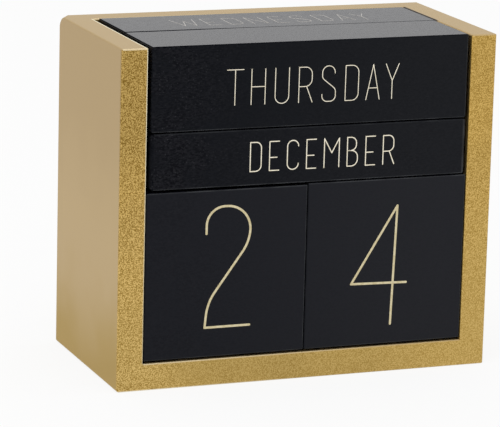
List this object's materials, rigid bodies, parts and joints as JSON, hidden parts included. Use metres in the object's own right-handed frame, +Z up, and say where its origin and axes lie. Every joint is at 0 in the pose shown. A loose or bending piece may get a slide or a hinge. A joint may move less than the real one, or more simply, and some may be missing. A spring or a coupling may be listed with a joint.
{
  "type": "perpetual desk calendar",
  "caption": "Open-front desk case holding loose blocks that are turned by hand to show the weekday, the month and the date.",
  "frame": {"origin": "middle of the rectangle that the case stands on, on the surface it stands on", "axes": "+X to the reader's right along the front, -Y out of the open front, +Z up"},
  "size_m": [0.1172, 0.059, 0.1015],
  "materials": {
    "gold_frame": "fibreboard under metallic gold paint, smooth on the faces and grainy on the cut edges",
    "black_block": "wood under satin black paint, faintly brushed",
    "dowel_wood": "plain fluted beech",
    "gold_lettering": "thin gold foil lines pressed on the blocks"
  },
  "bodies": {
    "case": {"left_side_panel": "gold_frame", "right_side_panel": "gold_frame", "back_panel": "gold_frame", "base_panel": "gold_frame", "dowels_base_left": "dowel_wood", "dowels_base_right": "dowel_wood", "dowels_back_left": "dowel_wood", "dowels_back_right": "dowel_wood", "dowels_back_base": "dowel_wood"},
    "date_cube_left": {"date_cube_left": "black_block"},
    "date_cube_right": {"date_cube_right": "black_block"},
    "month_bar_rear": {"month_bar_rear": "black_block"},
    "month_bar_middle": {"month_bar_middle": "black_block"},
    "month_bar_front": {"month_bar_front": "black_block"},
    "weekday_bar_front": {"weekday_bar_front": "black_block"},
    "weekday_bar_rear": {"weekday_bar_rear": "black_block"}
  },
  "joints": [
    {"name": "date_cube_left_pull", "type": "slide", "parent": "case", "child": "date_cube_left", "axis": [0, -1, 0], "range_m": [0, 0.052]},
    {"name": "date_cube_right_pull", "type": "slide", "parent": "case", "child": "date_cube_right", "axis": [0, -1, 0], "range_m": [0, 0.052]},
    {"name": "month_bar_rear_pull", "type": "slide", "parent": "case", "child": "month_bar_rear", "axis": [0, -1, 0], "range_m": [0, 0.052]},
    {"name": "month_bar_middle_pull", "type": "slide", "parent": "month_bar_rear", "child": "month_bar_middle", "axis": [0, -1, 0], "range_m": [0, 0.0352]},
    {"name": "month_bar_front_pull", "type": "slide", "parent": "month_bar_middle", "child": "month_bar_front", "axis": [0, -1, 0], "range_m": [0, 0.0184]},
    {"name": "weekday_bar_front_lift", "type": "slide", "parent": "case", "child": "weekday_bar_front", "axis": [0, 0, 1], "range_m": [0, 0.026]},
    {"name": "weekday_bar_rear_lift", "type": "slide", "parent": "case", "child": "weekday_bar_rear", "axis": [0, 0, 1], "range_m": [0, 0.026]}
  ]
}
